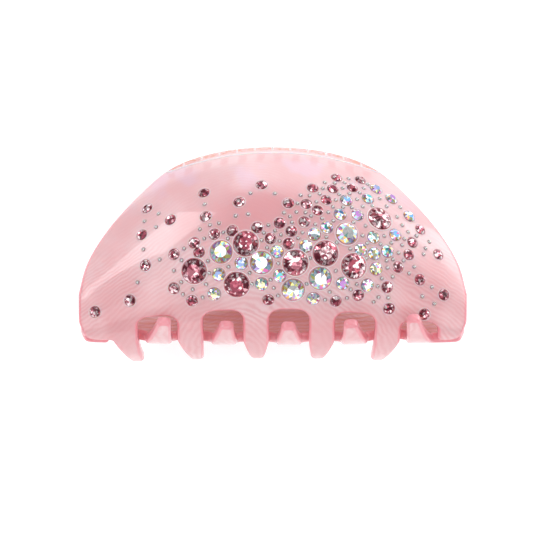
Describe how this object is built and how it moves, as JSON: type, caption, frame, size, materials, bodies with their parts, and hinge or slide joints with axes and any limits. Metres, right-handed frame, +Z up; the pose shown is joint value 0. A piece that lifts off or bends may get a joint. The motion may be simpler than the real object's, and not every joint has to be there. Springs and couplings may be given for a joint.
{
  "type": "rhinestone hair clip",
  "caption": "Domed D-shaped claw clip for hair: two toothed acetate jaws on a sprung hinge, set with round stones and tiny metal beads.",
  "frame": {"origin": "middle of the clip in plan, on the surface that the clip lies on", "axes": "+X along the hinge pin, +Y from the teeth to the grip edges, +Z up from the rear jaw to the front jaw"},
  "size_m": [0.088, 0.0471, 0.0391],
  "materials": {
    "acetate": "pearly pale pink cellulose acetate, polished",
    "acetate_lug": "plain pale pink acetate, polished",
    "steel": "nickel-plated steel",
    "spring_steel": "drawn spring wire",
    "rose_stone": "foiled faceted glass, rose",
    "aurora_stone": "foiled faceted glass with an iridescent coat",
    "silver_bead": "polished silver-coloured metal"
  },
  "bodies": {
    "rear_half": {"rear_jaw": "acetate", "rear_left_lug": "acetate_lug", "rear_right_lug": "acetate_lug", "hinge_pin": "steel", "left_pin_cap": "steel", "right_pin_cap": "steel", "torsion_spring": "spring_steel", "rear_large_rose_stones": "rose_stone", "rear_pointed_rose_stone": "rose_stone", "rear_large_aurora_stones": "aurora_stone", "rear_small_aurora_stones": "aurora_stone", "rear_small_rose_stones": "rose_stone", "rear_silver_beads": "silver_bead"},
    "front_half": {"front_jaw": "acetate", "front_left_lug": "acetate_lug", "front_right_lug": "acetate_lug", "front_large_rose_stones": "rose_stone", "front_pointed_rose_stone": "rose_stone", "front_large_aurora_stones": "aurora_stone", "front_small_aurora_stones": "aurora_stone", "front_small_rose_stones": "rose_stone", "front_silver_beads": "silver_bead"}
  },
  "joints": [
    {"name": "hinge_open", "type": "hinge", "parent": "rear_half", "child": "front_half", "pos_m": [0, 0.0105, 0.01985], "axis": [-1, 0, 0], "range_deg": [0, 24], "stiffness_Nm_per_rad": 0.02, "springref_deg": -20.05, "deforming": ["torsion_spring"]}
  ]
}
